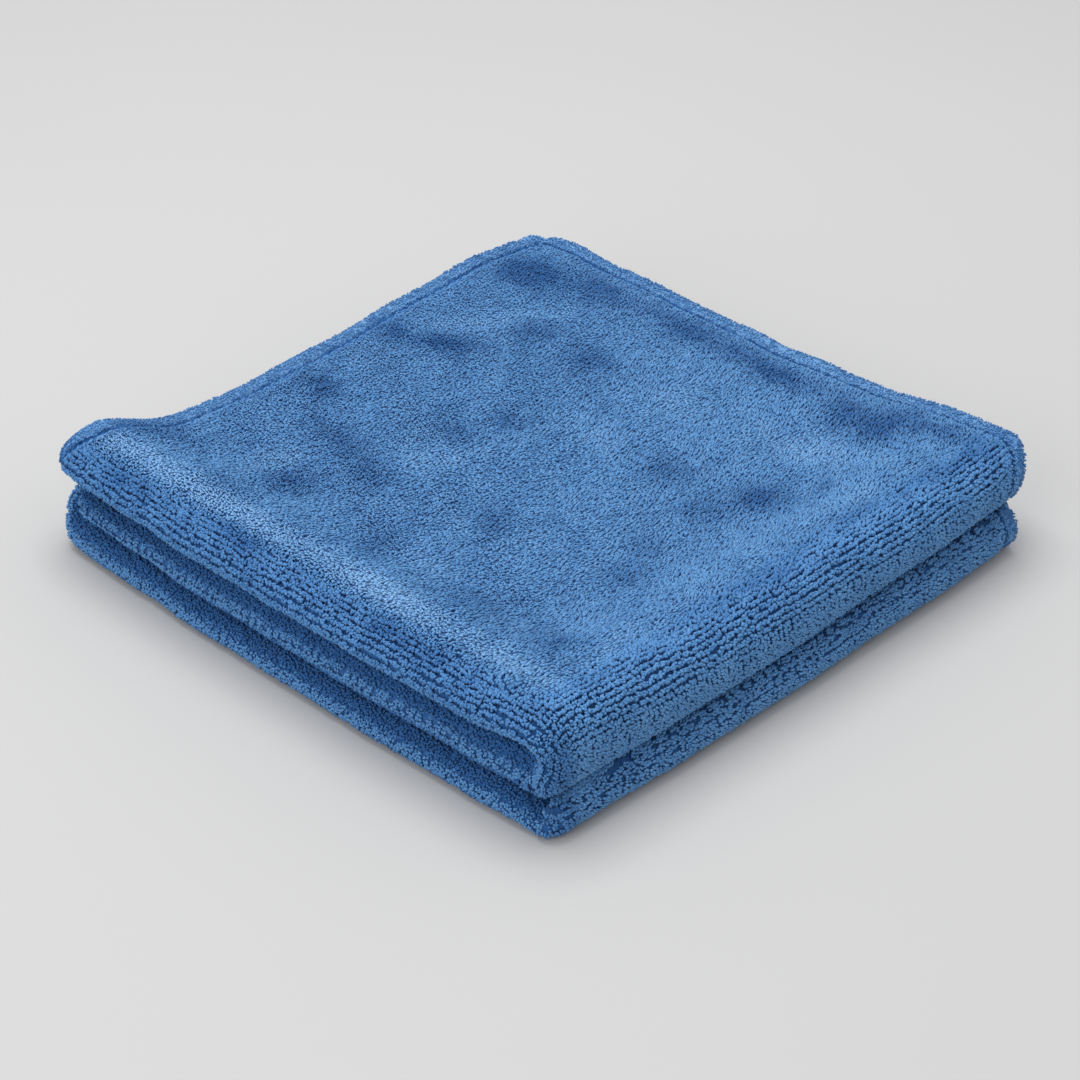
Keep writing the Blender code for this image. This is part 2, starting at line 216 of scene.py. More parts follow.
def curlRun(bend, layer, along):
    # The bottom hem follows the outside of the left bend: an arc about the bend's middle
    along = np.array(along)[:, None]
    depth, side = bend["depth"], bend["side"]
    closing = np.clip((along - curl["closes"]) / (1.0 - curl["closes"]), 0.0, 1.0)
    kept = curl["endThickness"] + (1.0 - curl["endThickness"]) * np.sqrt(1.0 - closing ** 2)
    turned = np.radians(curl["endNear"]) * along
    x = side * (bend["reach"] - depth + (depth + curl["gap"] + curl["side"]) * np.sin(turned))
    start = np.array(rimRow(layer, False) + [layer["back"], 0.0])
    end = np.array([hem["rounding"], hem["rounding"], 0.5, layer["corner"], 0.0, 0.0])
    rims = start + (end - start) * along
    rims[:, 3:4] += (curl["corner"] - layer["corner"]) * sCurve(along, *curl["rounds"])

    def sides(y):
        px = bendStart(bend, y)
        bendTop = layerFaces(bend["above"], px, y)[1]
        bendBottom = layerFaces(bend["below"], px, y)[0]
        bottom, top = layerFaces(layer, px, y)
        middle = (bendTop + bendBottom) / 2.0
        opened = (curl["endFar"] - curl["endNear"]) * sCurve(y, *curl["opens"])
        ends = np.radians(curl["endNear"] + opened)
        out, down = side * np.sin(ends * along), -np.cos(ends * along)
        inHalf = middle - top
        outHalf = np.where(down < 0.0, middle - bottom, inHalf + curl["top"])
        inDepth = depth + curl["gap"]
        return ((px + out * (inDepth + curl["side"]), middle + down * outHalf),
                (px + out * inDepth, middle + down * inHalf))

    return x, rims, kept, sides


def cornersIn(x, leftRadius, rightRadius):  # nearly quarter circles at the two ends of a rim
    drawn = 0.0
    for inwards, radius, blunt in ((x - cloth["left"], leftRadius, cloth["leftBlunt"]),
                                   (cloth["right"] - x, rightRadius, cloth["rightBlunt"])):
        t = np.clip(inwards / radius + blunt, 0.0, 1.0)
        drawn = drawn + radius * (1.0 - np.sqrt(1.0 - (1.0 - t) ** 2))
    return drawn


def crossRounds(x, rims, kept, grid):
    # The closed round at each station, across the face and back again: y, and the
    # place between the cloth's back (0) and its face (1). The near rim closes in
    # quarter ellipses on its outermost line, the far one by the hem's rounding.
    faceReach, backReach, line, corner, back, drawn = np.split(rims, 6, axis=1)
    near = nearRim(x) + back + cornersIn(x, corner, cloth["frontCorner"])
    far = cloth["far"] - drawn - cornersIn(x, cloth["backCorner"], cloth["rightCorner"])
    rimTurn = np.radians(np.linspace(0.0, 90.0, grid["rimSteps"] + 1))[None, :]
    across = np.array(grid["across"], float)[None, :] + 0.0 * x
    fromHem = np.array(grid["fromHem"], float)[None, :] + 0.0 * x

    def halfRound(reach):
        rounded = near + reach * (1.0 - np.cos(rimTurn))
        beside = rounded[:, -1:] + (across[:, :1] - rounded[:, -1:]) * grid["besideRim"]
        before = across[:, -1:] + ((far - fromHem)[:, :1] - across[:, -1:]) * grid["beforeHem"]
        y = np.hstack([rounded, beside, across, before, far - fromHem])
        full = np.ones_like(np.hstack([beside, across, before]))
        share = np.hstack([np.sin(rimTurn) + 0.0 * x, full, seamDip(fromHem) * hemRound(fromHem)])
        return y, line + (0.5 - line) * sCurve(y, cloth["near"], cloth["far"]), share

    faceY, faceLine, faceShare = halfRound(faceReach)
    backY, backLine, backShare = halfRound(backReach)
    backPlace = backLine * (1.0 - backShare)
    place = np.hstack([faceLine + (1.0 - faceLine) * faceShare, backPlace[:, -2:0:-1]])
    return np.hstack([faceY, backY[:, -2:0:-1]]), 0.5 + (place - 0.5) * kept


# grid lines of the fine surface; the hem's are round its edge and across its trough
edgeTurn = np.radians([75, 60, 45, 30, 15])
troughSteps = np.array([-0.9, -0.45, 0.0, 0.45, 0.9, 1.5])
hemLines = np.sort(np.concatenate([hem["rounding"] * (1.0 - np.cos(edgeTurn)),
                                   hem["width"] + hem["seamWidth"] * troughSteps]))
lines = {
    "fine": np.concatenate([[-89.0, -86.5], np.linspace(-84.0, 90.0, 74)]),
    "coarse": np.linspace(-84.0, 90.0, 24),
    "rimSteps": 10,
    "besideRim": np.linspace(0.0, 1.0, 7)[1:-1],
    "across": np.linspace(-70.0, 75.0, 60),
    "beforeHem": np.linspace(0.0, 1.0, 6)[1:-1],
    "fromHem": np.append(hemLines[::-1], 0.0),
    "turnSteps": 19, "leftTurnSteps": 13,
    "curl": np.append(np.linspace(0.0, 0.88, 15), [0.91, 0.94, 0.965, 0.985, 1.0]),
}


def foldedPoints():
    # All stations of the section from the top's free hem to the bottom's curled one:
    # each point lies between the two sides by its place, with their distance as depth
    freeX = np.concatenate([cloth["left"] + hemLines, lines["fine"]])
    freeKept = hemRound(freeX - cloth["left"]) * seamDip(freeX - cloth["left"])
    stretches = (
        ("top", flatRun(topLayer, freeX, True, freeKept)),
        ("upperBend", turnRun(upperBend, True, lines["turnSteps"])),
        ("second", flatRun(secondLayer, lines["coarse"][::-1], False)),
        ("leftBend", turnRun(leftBend, False, lines["leftTurnSteps"])),
        ("third", flatRun(thirdLayer, lines["coarse"], True)),
        ("lowerBend", turnRun(lowerBend, True, lines["turnSteps"])),
        ("bottom", flatRun(bottomLayer, lines["coarse"][::-1], False)),
        ("curl", curlRun(leftBend, bottomLayer, lines["curl"])),
    )
    rows, depths, spans = [], [], {}
    for name, (x, rims, kept, sides) in stretches:
        y, place = crossRounds(x, rims, kept, lines)
        (faceX, faceZ), (backX, backZ) = sides(y)
        first = sum(len(row) for row in rows)
        x, z = backX + (faceX - backX) * place, backZ + (faceZ - backZ) * place
        rows.append(np.stack([x, y, z], axis=2))
        depths.append(np.hypot(faceX - backX, faceZ - backZ))
        spans[name] = (first, first + len(rims))
    return np.concatenate(rows), np.concatenate(depths), spans


def ringFaces(rings, around):  # quads between neighbouring rounds, and strips across both ends
    ring, spot = np.arange(rings - 1)[:, None] * around, np.arange(around)[None, :]
    after = (spot + 1) % around
    ahead = ring + around
    corners = [ring + spot, ring + after, ahead + after, ahead + spot]
    quads = np.stack(corners, axis=2).reshape(-1, 4)
    there = np.arange(around // 2)
    back = around - there
    strip = np.stack([there, back % around, (back - 1) % around, there + 1], axis=1)
    ends = np.concatenate([strip, strip[:, ::-1] + (rings - 1) * around])
    return [list(dict.fromkeys(face)) for face in np.concatenate([quads, ends]).tolist()]


def waveField(x, y, length, seed, count=14):
    # Smooth unevenness: a sum of seeded plane waves, scaled to about -1..1
    rng = np.random.default_rng(seed)
    heading = rng.uniform(0.0, 2.0 * np.pi, count)
    number = 2.0 * np.pi / (length * rng.uniform(0.7, 1.5, count))
    phase = rng.uniform(0.0, 2.0 * np.pi, count)
    total = 0.0
    for h, k, p in zip(heading, number, phase):
        total = total + np.sin(k * (x * np.cos(h) + y * np.sin(h)) + p)
    return total / math.sqrt(count / 2.0) / 1.6


def newObject(name, data):  # an unturned object at the origin
    made = bpy.data.objects.new(name, data)
    bpy.context.collection.objects.link(made)
    return made


def addValues(mesh, name, values):  # one number for each vertex, which a material can read
    layer = mesh.attributes.new(name, "FLOAT", "POINT")
    layer.data.foreach_set("value", values.astype(np.float32).reshape(-1))


print("stage: cloth surface")
surface = {
    "lumpHeight": 0.30, "lumpLength": 26.0,
    "fullDepth": 5.0, "lumpStart": 0.3,  # thinner cloth has less pile, and fewer lumps
    "overFloor": 0.05, "farAway": 40.0,
}
points, depths, spans = foldedPoints()
rings, around = points.shape[:2]
half = around // 2
top = spans["top"]

# the faces look outwards, so those in the middle of the top look up
groundMesh = bpy.data.meshes.new("plush_cloth")
groundMesh.from_pydata((points.reshape(-1, 3) * mm).tolist(), [], ringFaces(rings, around))
normals = np.empty(rings * around * 3)
groundMesh.vertices.foreach_get("normal", normals)
normals = normals.reshape(rings, around, 3)
if normals[(top[0] + top[1]) // 2, half // 2, 2] < 0.0:
    groundMesh.flip_normals()
    normals = -normals

# distance of every point from the far hem, the top's own on the left, and the curled one
toFar = points[:, half:half + 1, 1] - points[..., 1]
onTop = np.arange(rings)[:, None] < top[1]
toLeft = np.where(onTop, points[..., 0] - cloth["left"], surface["farAway"])
curlSteps = np.linalg.norm(np.diff(points[spans["curl"][0]:], axis=0), axis=2)
toCurlEnd = np.full(points.shape[:2], surface["farAway"])
toCurlEnd[spans["curl"][0]:-1] = np.cumsum(curlSteps[::-1], axis=0)[::-1]
toCurlEnd[-1] = 0.0
hemAway = np.stack([toFar, toLeft, toCurlEnd], axis=2)
hemNearest = hemAway.min(axis=2)

# the ground lies inside the solid by the height of the pile, and less where the
# cloth is pinched thin and on the doubled cloth of the hem
lumps = waveField(points[..., 0], points[..., 1], surface["lumpLength"], 5) * surface["lumpHeight"]
bandMask = 1.0 - sCurve(hemNearest, *(hem["width"] - inside for inside in hem["raiseEnds"]))
thick = depths / surface["fullDepth"]
inset = cloth["pileInset"] * (1.0 - hem["raise"] * bandMask) * np.clip(thick, 0.0, 1.0)
inset = inset - lumps * np.clip(thick - surface["lumpStart"], 0.0, 1.0)
ground = points - normals * inset[..., None]
ground[..., 2] = np.maximum(ground[..., 2], surface["overFloor"])
groundMesh.vertices.foreach_set("co", ((ground - planShift) * mm).reshape(-1))
groundMesh.shade_smooth()
groundMesh.update()
plushCloth = newObject("plush_cloth", groundMesh)
print("   plush_cloth", len(groundMesh.polygons), "faces")

# patches where the nap leans another way and is painted darker or lighter, as the shade and
# sheen its lean gives under the light: x, y, spread along, spread across, turn in degrees,
# strength (painted shade < 0 < painted sheen)
napPatches = (
    (-80, 72, 11, 8, 10, -1.7), (-56, 80, 14, 7, 5, -0.8), (-20, 84, 13, 6, -5, -0.7),
    (15, 82, 18, 6, -5, -0.8), (46, 77, 6, 6, 0, -0.9), (60, 77, 9, 9, 0, -1.2),
    (78, 84, 12, 5, 0, -0.6), (-55, 50, 9, 7, 10, -0.7), (-31, 50, 7, 7, 0, -0.7),
    (-70, 26, 11, 5, 20, -1.2), (-88, 21, 9, 5, 0, -0.8), (56, 27, 8, 8, -30, -1.3),
    (69, 42, 8, 4, -45, -0.6), (28, 22, 8, 8, 0, -0.8), (47, 11, 8, 6, 0, -0.7),
    (-25, 9, 6, 5, 0, -0.7), (-31, -5, 7, 5, 0, -0.7), (50, -10, 8, 6, -20, -0.6),
    (-80, -14, 9, 5, -10, -1.1), (-52, -32, 15, 6, -15, -0.8), (-30, -38, 9, 6, 0, -0.5),
    (10, -30, 5, 9, 20, -0.7), (55, -28, 6, 7, 0, -0.6), (-44, -57, 9, 9, 0, -0.8),
    (0, -66, 5, 13, 30, -0.6), (42, -68, 12, 9, 0, -0.6), (71, -69, 9, 7, 30, -0.8),
    (-88, -71, 6, 12, -30, -0.7), (-20, -94, 9, 3, 0, -0.8), (45, -96, 16, 3, 0, -0.5),
    (-65, -97, 12, 3, 0, -0.5), (92, 70, 4, 16, 0, -0.5), (92, -15, 4, 14, 0, -0.4),
    (-28, 62, 22, 6, 0, 0.2), (-66, 46, 19, 5, 55, 0.9), (52, 57, 15, 8, 10, 0.7),
    (78, 42, 7, 8, -60, 0.5), (80, 18, 5, 22, 0, 0.15), (78, -22, 6, 18, 0, 0.2),
    (72, 2, 10, 12, 0, 0.15), (-40, -86.5, 44, 5, 0, 1.5), (27, -86, 18, 5.5, 0, 1.5),
    (68, -85.5, 20, 4, 0, 1.0), (-82, -85, 14, 5, 0, 0.7), (-50, 55, 55, 45, -45, -0.3),
    (10, 84, 90, 5, 0, -0.45), (88, 20, 3, 60, 0, -0.3), (72, 0, 26, 75, 0, -0.2),
    (-57, -50, 5, 11, 0, 0.6), (-25, -20, 9, 9, 0, 0.5), (12, -62, 9, 6, 0, 0.4),
    (3, 50, 10, 8, 0, 0.5), (-2, 22, 12, 9, 0, 0.3), (-45, 25, 12, 8, 0, 0.2),
    (82, -60, 6, 12, 0, 0.4),
)


def napField(x, y):  # sum of soft turned bells plus a little drifting unevenness, which paints the nap's shade and sheen
    total = np.zeros_like(x)
    for px, py, along, across, turn, strength in napPatches:
        c, s = math.cos(math.radians(turn)), math.sin(math.radians(turn))
        u, v = (x - px) * c + (y - py) * s, (y - py) * c - (x - px) * s
        total += strength * np.exp(-((u / along) ** 2) - (v / across) ** 2)
    return total + 0.10 * waveField(x, y, 16.0, 21) + 0.14 * waveField(x, y, 7.5, 22)


# light reaches the ground on the hem's band and under the top's nap, not at the sewing
lit = {
    "level": (0.80, 0.95), "nearLeft": (-92.0, -86.0), "nearRight": (90.0, 84.0),  # of the top
    "top": 1.1, "byNap": 0.75, "most": 1.2, "band": 0.75, "trough": 0.9, "troughWidth": 0.8,
}
openTop = sCurve(normals[..., 2], *lit["level"]) * sCurve(points[..., 1], *lit["nearLeft"])
openTop = openTop * sCurve(points[..., 0], *lit["nearRight"])
openTop[top[1]:] = 0.0
napLight = lit["top"] + lit["byNap"] * napField(points[..., 0], points[..., 1])
openTop *= np.clip(napLight, 0.0, lit["most"])
trough = np.exp(-(((hemNearest - hem["width"]) / lit["troughWidth"]) ** 2))
litShare = np.maximum(lit["band"] * bandMask, openTop) * (1.0 - lit["trough"] * trough)
addValues(groundMesh, "lit", litShare)

pile = {
    "strands": 5,  # in each tuft
    "length": 2.0, "width": 0.68,
    "jitter": 0.34, "rowJitter": 0.14,  # scatter of the tufts, as shares of the spacing
    "rowDrift": 0.4, "driftLength": 22.0,  # how far the rows wander, over what length
    "rowHold": 0.34,  # how much closer a gathered tuft keeps to its row
    "bandLength": 0.80, "bandWidth": 0.72, "bandLean": 1.5, "bandShade": -0.50,  # on the turned hem
    "overFloor": 0.55,  # no tufts on ground nearer to the floor
}
search = {"steps": 7, "longest": 2, "leastCell": 0.02, "inGrid": 1.001, "miss": 0.4}


def latticeTufts(stretch, anchor, look, rng):
    # A lattice of tufts over one stretch of the cloth: even steps of true arc length
    # both ways, counted from the anchor station and from the rim line, in rows where
    # the pile gathers and loose elsewhere. A few Newton steps find each grid place.
    block, normalBlock, awayBlock = stretch
    spacing = look["spacing"]
    lengthA, lengthB = (np.linalg.norm(np.diff(block, axis=axis), axis=2) for axis in (0, 1))
    arcA, arcB = np.zeros(block.shape[:2]), np.zeros(block.shape[:2])
    arcA[1:], arcB[:, 1:] = np.cumsum(lengthA, axis=0), np.cumsum(lengthB, axis=1)
    arcA -= arcA[anchor]
    stationsA, stationsB = np.median(arcA, axis=1), np.median(arcB, axis=0)
    firstA, lastA = math.floor(arcA[0].min() / spacing), math.ceil(arcA[-1].max() / spacing)
    a = np.arange(firstA, lastA) * spacing + spacing / 2.0
    b = np.arange(0, math.ceil(arcB[:, -1].max() / spacing)) * spacing + spacing * look["firstRow"]
    shift = np.repeat(0.5 * spacing * (np.arange(len(a)) % 2), len(b))
    a, b = np.repeat(a, len(b)), np.tile(b, len(a))

    def placed(a, b):  # the tufts at these arc lengths, and whether each was found
        i = np.interp(a, stationsA, np.arange(len(stationsA)))
        j = np.interp(b, stationsB, np.arange(len(stationsB)))

        def read(field, i0, j0, u, v):  # blended between the cell's four corners
            if field.ndim == 3:
                u, v = u[:, None], v[:, None]
            return ((field[i0, j0] * (1 - u) + field[i0 + 1, j0] * u) * (1 - v)
                    + (field[i0, j0 + 1] * (1 - u) + field[i0 + 1, j0 + 1] * u) * v)

        def misses():  # the cells, and how far the places in them are off
            i0 = np.minimum(i.astype(int), len(arcA) - 2)
            j0 = np.minimum(j.astype(int), arcA.shape[1] - 2)
            cell = i0, j0, i - i0, j - j0
            return cell, a - read(arcA, *cell), b - read(arcB, *cell)

        def nearer(place, miss, cellLength, count):  # moved by the miss over the cell's length
            step = miss / (cellLength + search["leastCell"])
            step = np.clip(step, -search["longest"], search["longest"])
            return np.clip(place + step, 0, count - search["inGrid"])

        for step in range(search["steps"]):
            cell, missA, missB = misses()
            i = nearer(i, missA, lengthA[cell[:2]], len(arcA))
            j = nearer(j, missB, lengthB[cell[:2]], arcA.shape[1])
        cell, missA, missB = misses()
        found = (np.abs(missA) < search["miss"]) & (np.abs(missB) < search["miss"])
        i0, j0 = cell[:2]
        up = read(normalBlock, *cell)
        up = up / np.linalg.norm(up, axis=1, keepdims=True)
        tufts = {"spot": read(block, *cell), "up": up}
        for label, way in (("tangent", block[i0 + 1, j0] - block[i0, j0]),
                           ("side", block[i0, j0 + 1] - block[i0, j0])):
            way = way - up * np.sum(way * up, axis=1, keepdims=True)
            tufts[label] = way / (np.linalg.norm(way, axis=1, keepdims=True) + 1e-9)
        tufts["away"] = read(awayBlock, *cell)
        tufts["fromStart"], tufts["fromRim"] = a - arcA[0].mean(), b
        return tufts, found

    loose = 1.0 - look["gather"](placed(a, b)[0])
    scatter = (pile["rowJitter"] + (pile["jitter"] - pile["rowJitter"]) * loose) * spacing
    wander = pile["rowDrift"] * (1.0 - loose) * np.clip((b - 1.0) / 4.0, 0.0, 1.0)
    driftA, driftB = (wander * waveField(a, b, pile["driftLength"], seed) for seed in (41, 42))
    a, b = (a + driftA + rng.uniform(-1, 1, a.shape) * scatter,
            b + shift * loose + driftB + rng.uniform(-1, 1, b.shape) * scatter)
    tufts, found = placed(a, b)
    return pick(tufts, found)


def pick(tufts, which):  # the chosen tufts
    return {key: value[which] for key, value in tufts.items()}


spindle = {
    "turnScatter": 0.5, "outFrom": 0.15, "lengths": (0.75, 1.2), "widths": (0.8, 1.2),
    "stray": 0.25, "splay": 0.35,  # scatter of the lean, and how far loose strands part
    "lowSway": 0.55, "highRise": 0.72, "highSway": 1.25,  # the upper part bends over further
    "foot": 0.35,  # this far below the ground
    "waist": 0.50, "waistGathered": 0.16,  # height of the thickest place
    "drawMiddle": 0.12, "drawTip": 0.22,  # how far gathering pulls them together
    "overFloor": 0.06,
}


def unit(way):  # the same direction, one long
    return way / np.linalg.norm(way, axis=2, keepdims=True)


def tuftStrands(tufts, rng):
    # Each strand is a spindle: a root below the ground, three points round its
    # thickest place, and a tip. Tips lean with the nap and draw together by gather.
    n, k = len(tufts["spot"]), pile["strands"]
    scatter = spindle["turnScatter"]
    turn = rng.uniform(0, 2 * np.pi, (n, 1)) + np.arange(k)[None, :] * 2 * np.pi / k
    turn = turn + rng.uniform(-scatter, scatter, (n, k))
    out = tufts["radius"][:, None] * np.sqrt(rng.uniform(spindle["outFrom"], 1.0, (n, k)))
    ex = (out * np.cos(turn))[..., None] * (1.0 - pile["rowHold"] * tufts["alongB"][:, None, None])
    ey = (out * np.sin(turn))[..., None] * (1.0 - pile["rowHold"] * tufts["alongA"][:, None, None])
    t, s, up = tufts["tangent"][:, None], tufts["side"][:, None], tufts["up"][:, None]
    root = tufts["spot"][:, None] + t * ex + s * ey
    gather = tufts["gather"][:, None, None]
    length = (tufts["length"][:, None] * rng.uniform(*spindle["lengths"], (n, k)))[..., None]
    loose = rng.normal(0.0, spindle["stray"], (n, k, 2)) * tufts["loose"][:, None, None]
    lean = tufts["lean"][:, None]
    splay = spindle["splay"] * (1 - gather)
    sway = t * (lean[..., :1] + loose[..., :1] + splay * np.cos(turn)[..., None]) \
        + s * (lean[..., 1:] + loose[..., 1:] + splay * np.sin(turn)[..., None])
    early = unit(up + spindle["lowSway"] * sway)
    late = unit(up * spindle["highRise"] + spindle["highSway"] * sway)
    foot = root - up * spindle["foot"]
    waist = spindle["waist"] + spindle["waistGathered"] * gather
    drawn = (t * ex + s * ey) * gather
    middle = root + early * length * waist - drawn * spindle["drawMiddle"]
    tip = middle + late * length * (1.0 - waist) - drawn * spindle["drawTip"]
    axis = unit(tip - foot)
    upright = np.abs(axis[..., 2:]) > 0.9
    wide = unit(np.cross(axis, np.where(upright, [1.0, 0.0, 0.0], [0.0, 0.0, 1.0])))
    other = np.cross(axis, wide)
    radius = (tufts["width"][:, None] * rng.uniform(*spindle["widths"], (n, k)) / 2.0)[..., None]
    spin = rng.uniform(0, 2 * np.pi, (n, k))[..., None]
    roundWaist = [middle + radius * (wide * np.cos(spin + q) + other * np.sin(spin + q))
                  for q in (0.0, 2 * np.pi / 3, 4 * np.pi / 3)]
    verts = np.stack([foot] + roundWaist + [tip], axis=2).reshape(-1, 3)
    verts[:, 2] = np.maximum(verts[:, 2], spindle["overFloor"])
    corners = np.array([(0, 2, 1), (0, 3, 2), (0, 1, 3), (1, 2, 4), (2, 3, 4), (3, 1, 4)])
    tris = (corners[None] + 5 * np.arange(n * k)[:, None, None]).reshape(-1, 3)
    # along paints each strand darker at the root as shade in the pile; nap carries its painted
    # shade and sheen; tone varies at random
    values = {"along": np.tile([0.0, 0.5, 0.5, 0.5, 1.0], n * k),
              "tone": np.repeat(rng.uniform(0, 1, (n, k)).ravel(), 5),
              "napAndShade": np.repeat(np.repeat(tufts["napAndShade"], k), 5)}
    return verts, tris, values


def strandPiece(name, tufts, rng):  # one mesh of these tufts' strands
    verts, tris, values = tuftStrands(tufts, rng)
    mesh = bpy.data.meshes.new(name)
    mesh.vertices.add(len(verts))
    mesh.vertices.foreach_set("co", ((verts - planShift) * mm).reshape(-1))
    mesh.loops.add(tris.size)
    mesh.loops.foreach_set("vertex_index", tris.reshape(-1).astype(np.int32))
    mesh.polygons.add(len(tris))
    mesh.polygons.foreach_set("loop_start", np.arange(0, tris.size, 3, dtype=np.int32))
    mesh.update(calc_edges=True)
    mesh.validate()
    mesh.shade_smooth()
    for label, numbers in values.items():
        addValues(mesh, label, numbers)
    print("  ", name, len(tris), "triangles")
    return newObject(name, mesh)


comb = {
    "bandEdge": 0.4, "besideReach": 1.5,
    "diagonal": 60.0,  # how fast the nap turns across the diagonal
    "strayLengths": (30.0, 9.0), "slantByNap": 0.5, "napLimits": (-0.6, 1.2), "slantAtBack": 0.35,
    "bandOut": 0.5, "partsAtSeam": 1.5, "shortAtSeam": 0.5, "beadWidth": 0.70,
    "looseGathered": 0.45, "looseMore": 0.85, "bandSteady": 0.6,
    "shortAtEdge": 0.35, "edgeReach": 2.0,
    "radius": 0.58, "radiusGathered": 0.10,  # of a tuft, as shares of the spacing
}
hemWays = np.array([(0.0, 1.0), (-1.0, 0.0), (1.0, 0.0)])  # to each hem, on the tuft's own axes


def dressTufts(tufts, look):
    # Gives each tuft its length, lean, gathering and nap. The nap value sets the lean a little and
    # carries the painted shade and sheen of the nap patches, the painted shade of the beads and
    # folds, the darker hem band, and the painted highlight at the hem's inner edge. The nap lies
    # along the near edges and turns from one to the other across the diagonal; the turned hem has
    # short pile combed along it, and the pile parts at the sewing.
    x, y = tufts["spot"][:, 0], tufts["spot"][:, 1]
    distance, edgeWay = tufts["away"].min(axis=1), hemWays[np.argmin(tufts["away"], axis=1)]
    band = 1.0 - sCurve(distance, hem["width"] - comb["bandEdge"], hem["width"] + comb["bandEdge"])
    beside = np.exp(-(((distance - hem["width"]) / comb["besideReach"]) ** 2)) * (1.0 - band)
    slow, quick = (waveField(x, y, *field) for field in zip(comb["strayLengths"], (31, 32)))
    heading = np.radians(45.0 + 45.0 * np.tanh((x + y) / comb["diagonal"])) \
        + np.radians(look["stray"]) * (slow + 0.5 * quick)
    # the nap patches' painted shade and sheen, plus each look's painted shade and highlight
    napAndShade = napField(x, y) * look["napShare"] + look["shade"](tufts)
    gather = (look["gather"](tufts) + 0.0 * x) * (1.0 - band)
    flatter = 1.0 + comb["slantByNap"] * np.clip(napAndShade, *comb["napLimits"])
    slant = look["slant"] * (1.0 - gather) * (flatter + comb["slantAtBack"] * farBack(tufts))
    # the lean is given over the ground plane, then put on the tuft's own axes
    push = np.stack([np.cos(heading), np.sin(heading), np.zeros(len(x))], axis=1)
    lean = np.stack([np.sum(push * tufts[way], axis=1) for way in ("tangent", "side")], axis=1)
    bandWay = pile["bandLean"] * edgeWay[:, ::-1] ** 2 + comb["bandOut"] * edgeWay
    lean = lean * (slant * (1.0 - band))[:, None] + bandWay * band[:, None] \
        - edgeWay * comb["partsAtSeam"] * beside[:, None]
    alongA, alongB = look["rows"](tufts)
    length = pile["length"] * look["length"](tufts) * (1.0 - comb["shortAtSeam"] * beside)
    lower = 1.0 - comb["shortAtEdge"] * np.clip(1.0 - distance / comb["edgeReach"], 0.0, 1.0)
    width = pile["width"] * look["width"] * (1.0 + comb["beadWidth"] * gather)
    loose = comb["looseGathered"] + comb["looseMore"] * (1.0 - gather)
    dressed = {
        "napAndShade": napAndShade + pile["bandShade"] * band, "gather": gather, "lean": lean,
        "alongA": alongA, "alongB": alongB, "loose": loose * (1.0 - comb["bandSteady"] * band),
        "length": (length + (pile["bandLength"] - length) * band) * lower,
        "width": width + (pile["bandWidth"] - width) * band,
        "radius": look["spacing"] * (comb["radius"] - comb["radiusGathered"] * gather),
    }
    dressed.update({key: tufts[key] for key in ("spot", "up", "tangent", "side")})
    return pick(dressed, look["keep"](tufts) & (np.abs(distance - hem["width"]) > hem["seamBare"]))


def halfOf(names, side):  # the face or the back of some stretches, from rim line to far hem
    a, b = spans[names[0]][0], min(spans[names[-1]][1] + 1, rings)
    order = np.arange(half + 1) if side == "face" else np.arange(around, half - 1, -1) % around
    return ground[a:b][:, order], normals[a:b][:, order], hemAway[a:b][:, order]


print("stage: pile")
rng = np.random.default_rng(77)
ridges = {
    "nearLeft": (-89.5, -96.0), "nearRight": (83.5, 90.0),  # the beads begin here
    "gather": 0.84, "gatherBelow": 0.45, "gatherLowerFold": 0.6,
    # shadeLeft and shadeRight paint the beads darker as shade; hemLight is a painted highlight on
    # the hem's inner edge
    "shadeLeft": 0.55, "shadeRight": 0.30,
    "hemLight": 1.1, "hemLightAt": 5.2, "hemLightWidth": 0.6, "hemLightRun": (-20.0, 60.0),
}
# shade paints the lips a little darker, and shadeInside darker still inside the folds, both as
# painted shade
lips = {"gather": 0.20, "rows": 0.6, "length": 0.58, "shade": -0.25, "shadeInside": 1.5}


def nearLeftRows(t):  # 1 on the near left ridge
    return sCurve(t["spot"][:, 1], *ridges["nearLeft"])


def nearRightRows(t):  # 1 on the near right ridge
    return sCurve(t["spot"][:, 0], *ridges["nearRight"])


def farBack(t):  # towards the back corner, where the nap lies flatter
    return sCurve(t["spot"][:, 1] - t["spot"][:, 0], 30.0, 170.0)


def offFloor(t):
    return t["spot"][:, 2] > pile["overFloor"]


def faceGather(t):  # beads on the two near ridges, looser on the folds' lower faces
    below = ridges["gatherBelow"]
    upward = below + (1.0 - below) * sCurve(t["up"][:, 2], -0.3, 0.3)
    return ridges["gather"] * np.maximum(nearLeftRows(t), nearRightRows(t)) * upward


def faceRows(t):  # rows follow the near edges on top and run down the folds' faces
    near, right = nearLeftRows(t), nearRightRows(t)
    level = sCurve(t["up"][:, 2], 0.05, 0.45)
    return np.maximum(near, right * (1.0 - level)), right * level * (1.0 - near)


def ridgeShade(t):  # painted shade on the beads, and a painted highlight where the hem's inner edge catches light
    fromHem = t["away"][:, :2].min(axis=1) - ridges["hemLightAt"]
    shine = np.exp(-((fromHem / ridges["hemLightWidth"]) ** 2))
    shine = shine * sCurve(t["spot"][:, 1], *ridges["hemLightRun"])
    right = ridges["shadeRight"] * nearRightRows(t) * sCurve(t["up"][:, 2], 0.0, 0.6)
    return ridges["hemLight"] * shine - np.maximum(ridges["shadeLeft"] * nearLeftRows(t), right)


def faceLength(t):  # shorter on the steep faces and towards the back corner
    return 0.95 - 0.22 * sCurve(t["up"][:, 2], 0.7, 0.1) - 0.22 * farBack(t)


def evenly(value):  # the same for every tuft
    return lambda t: np.full(len(t["fromRim"]), value)


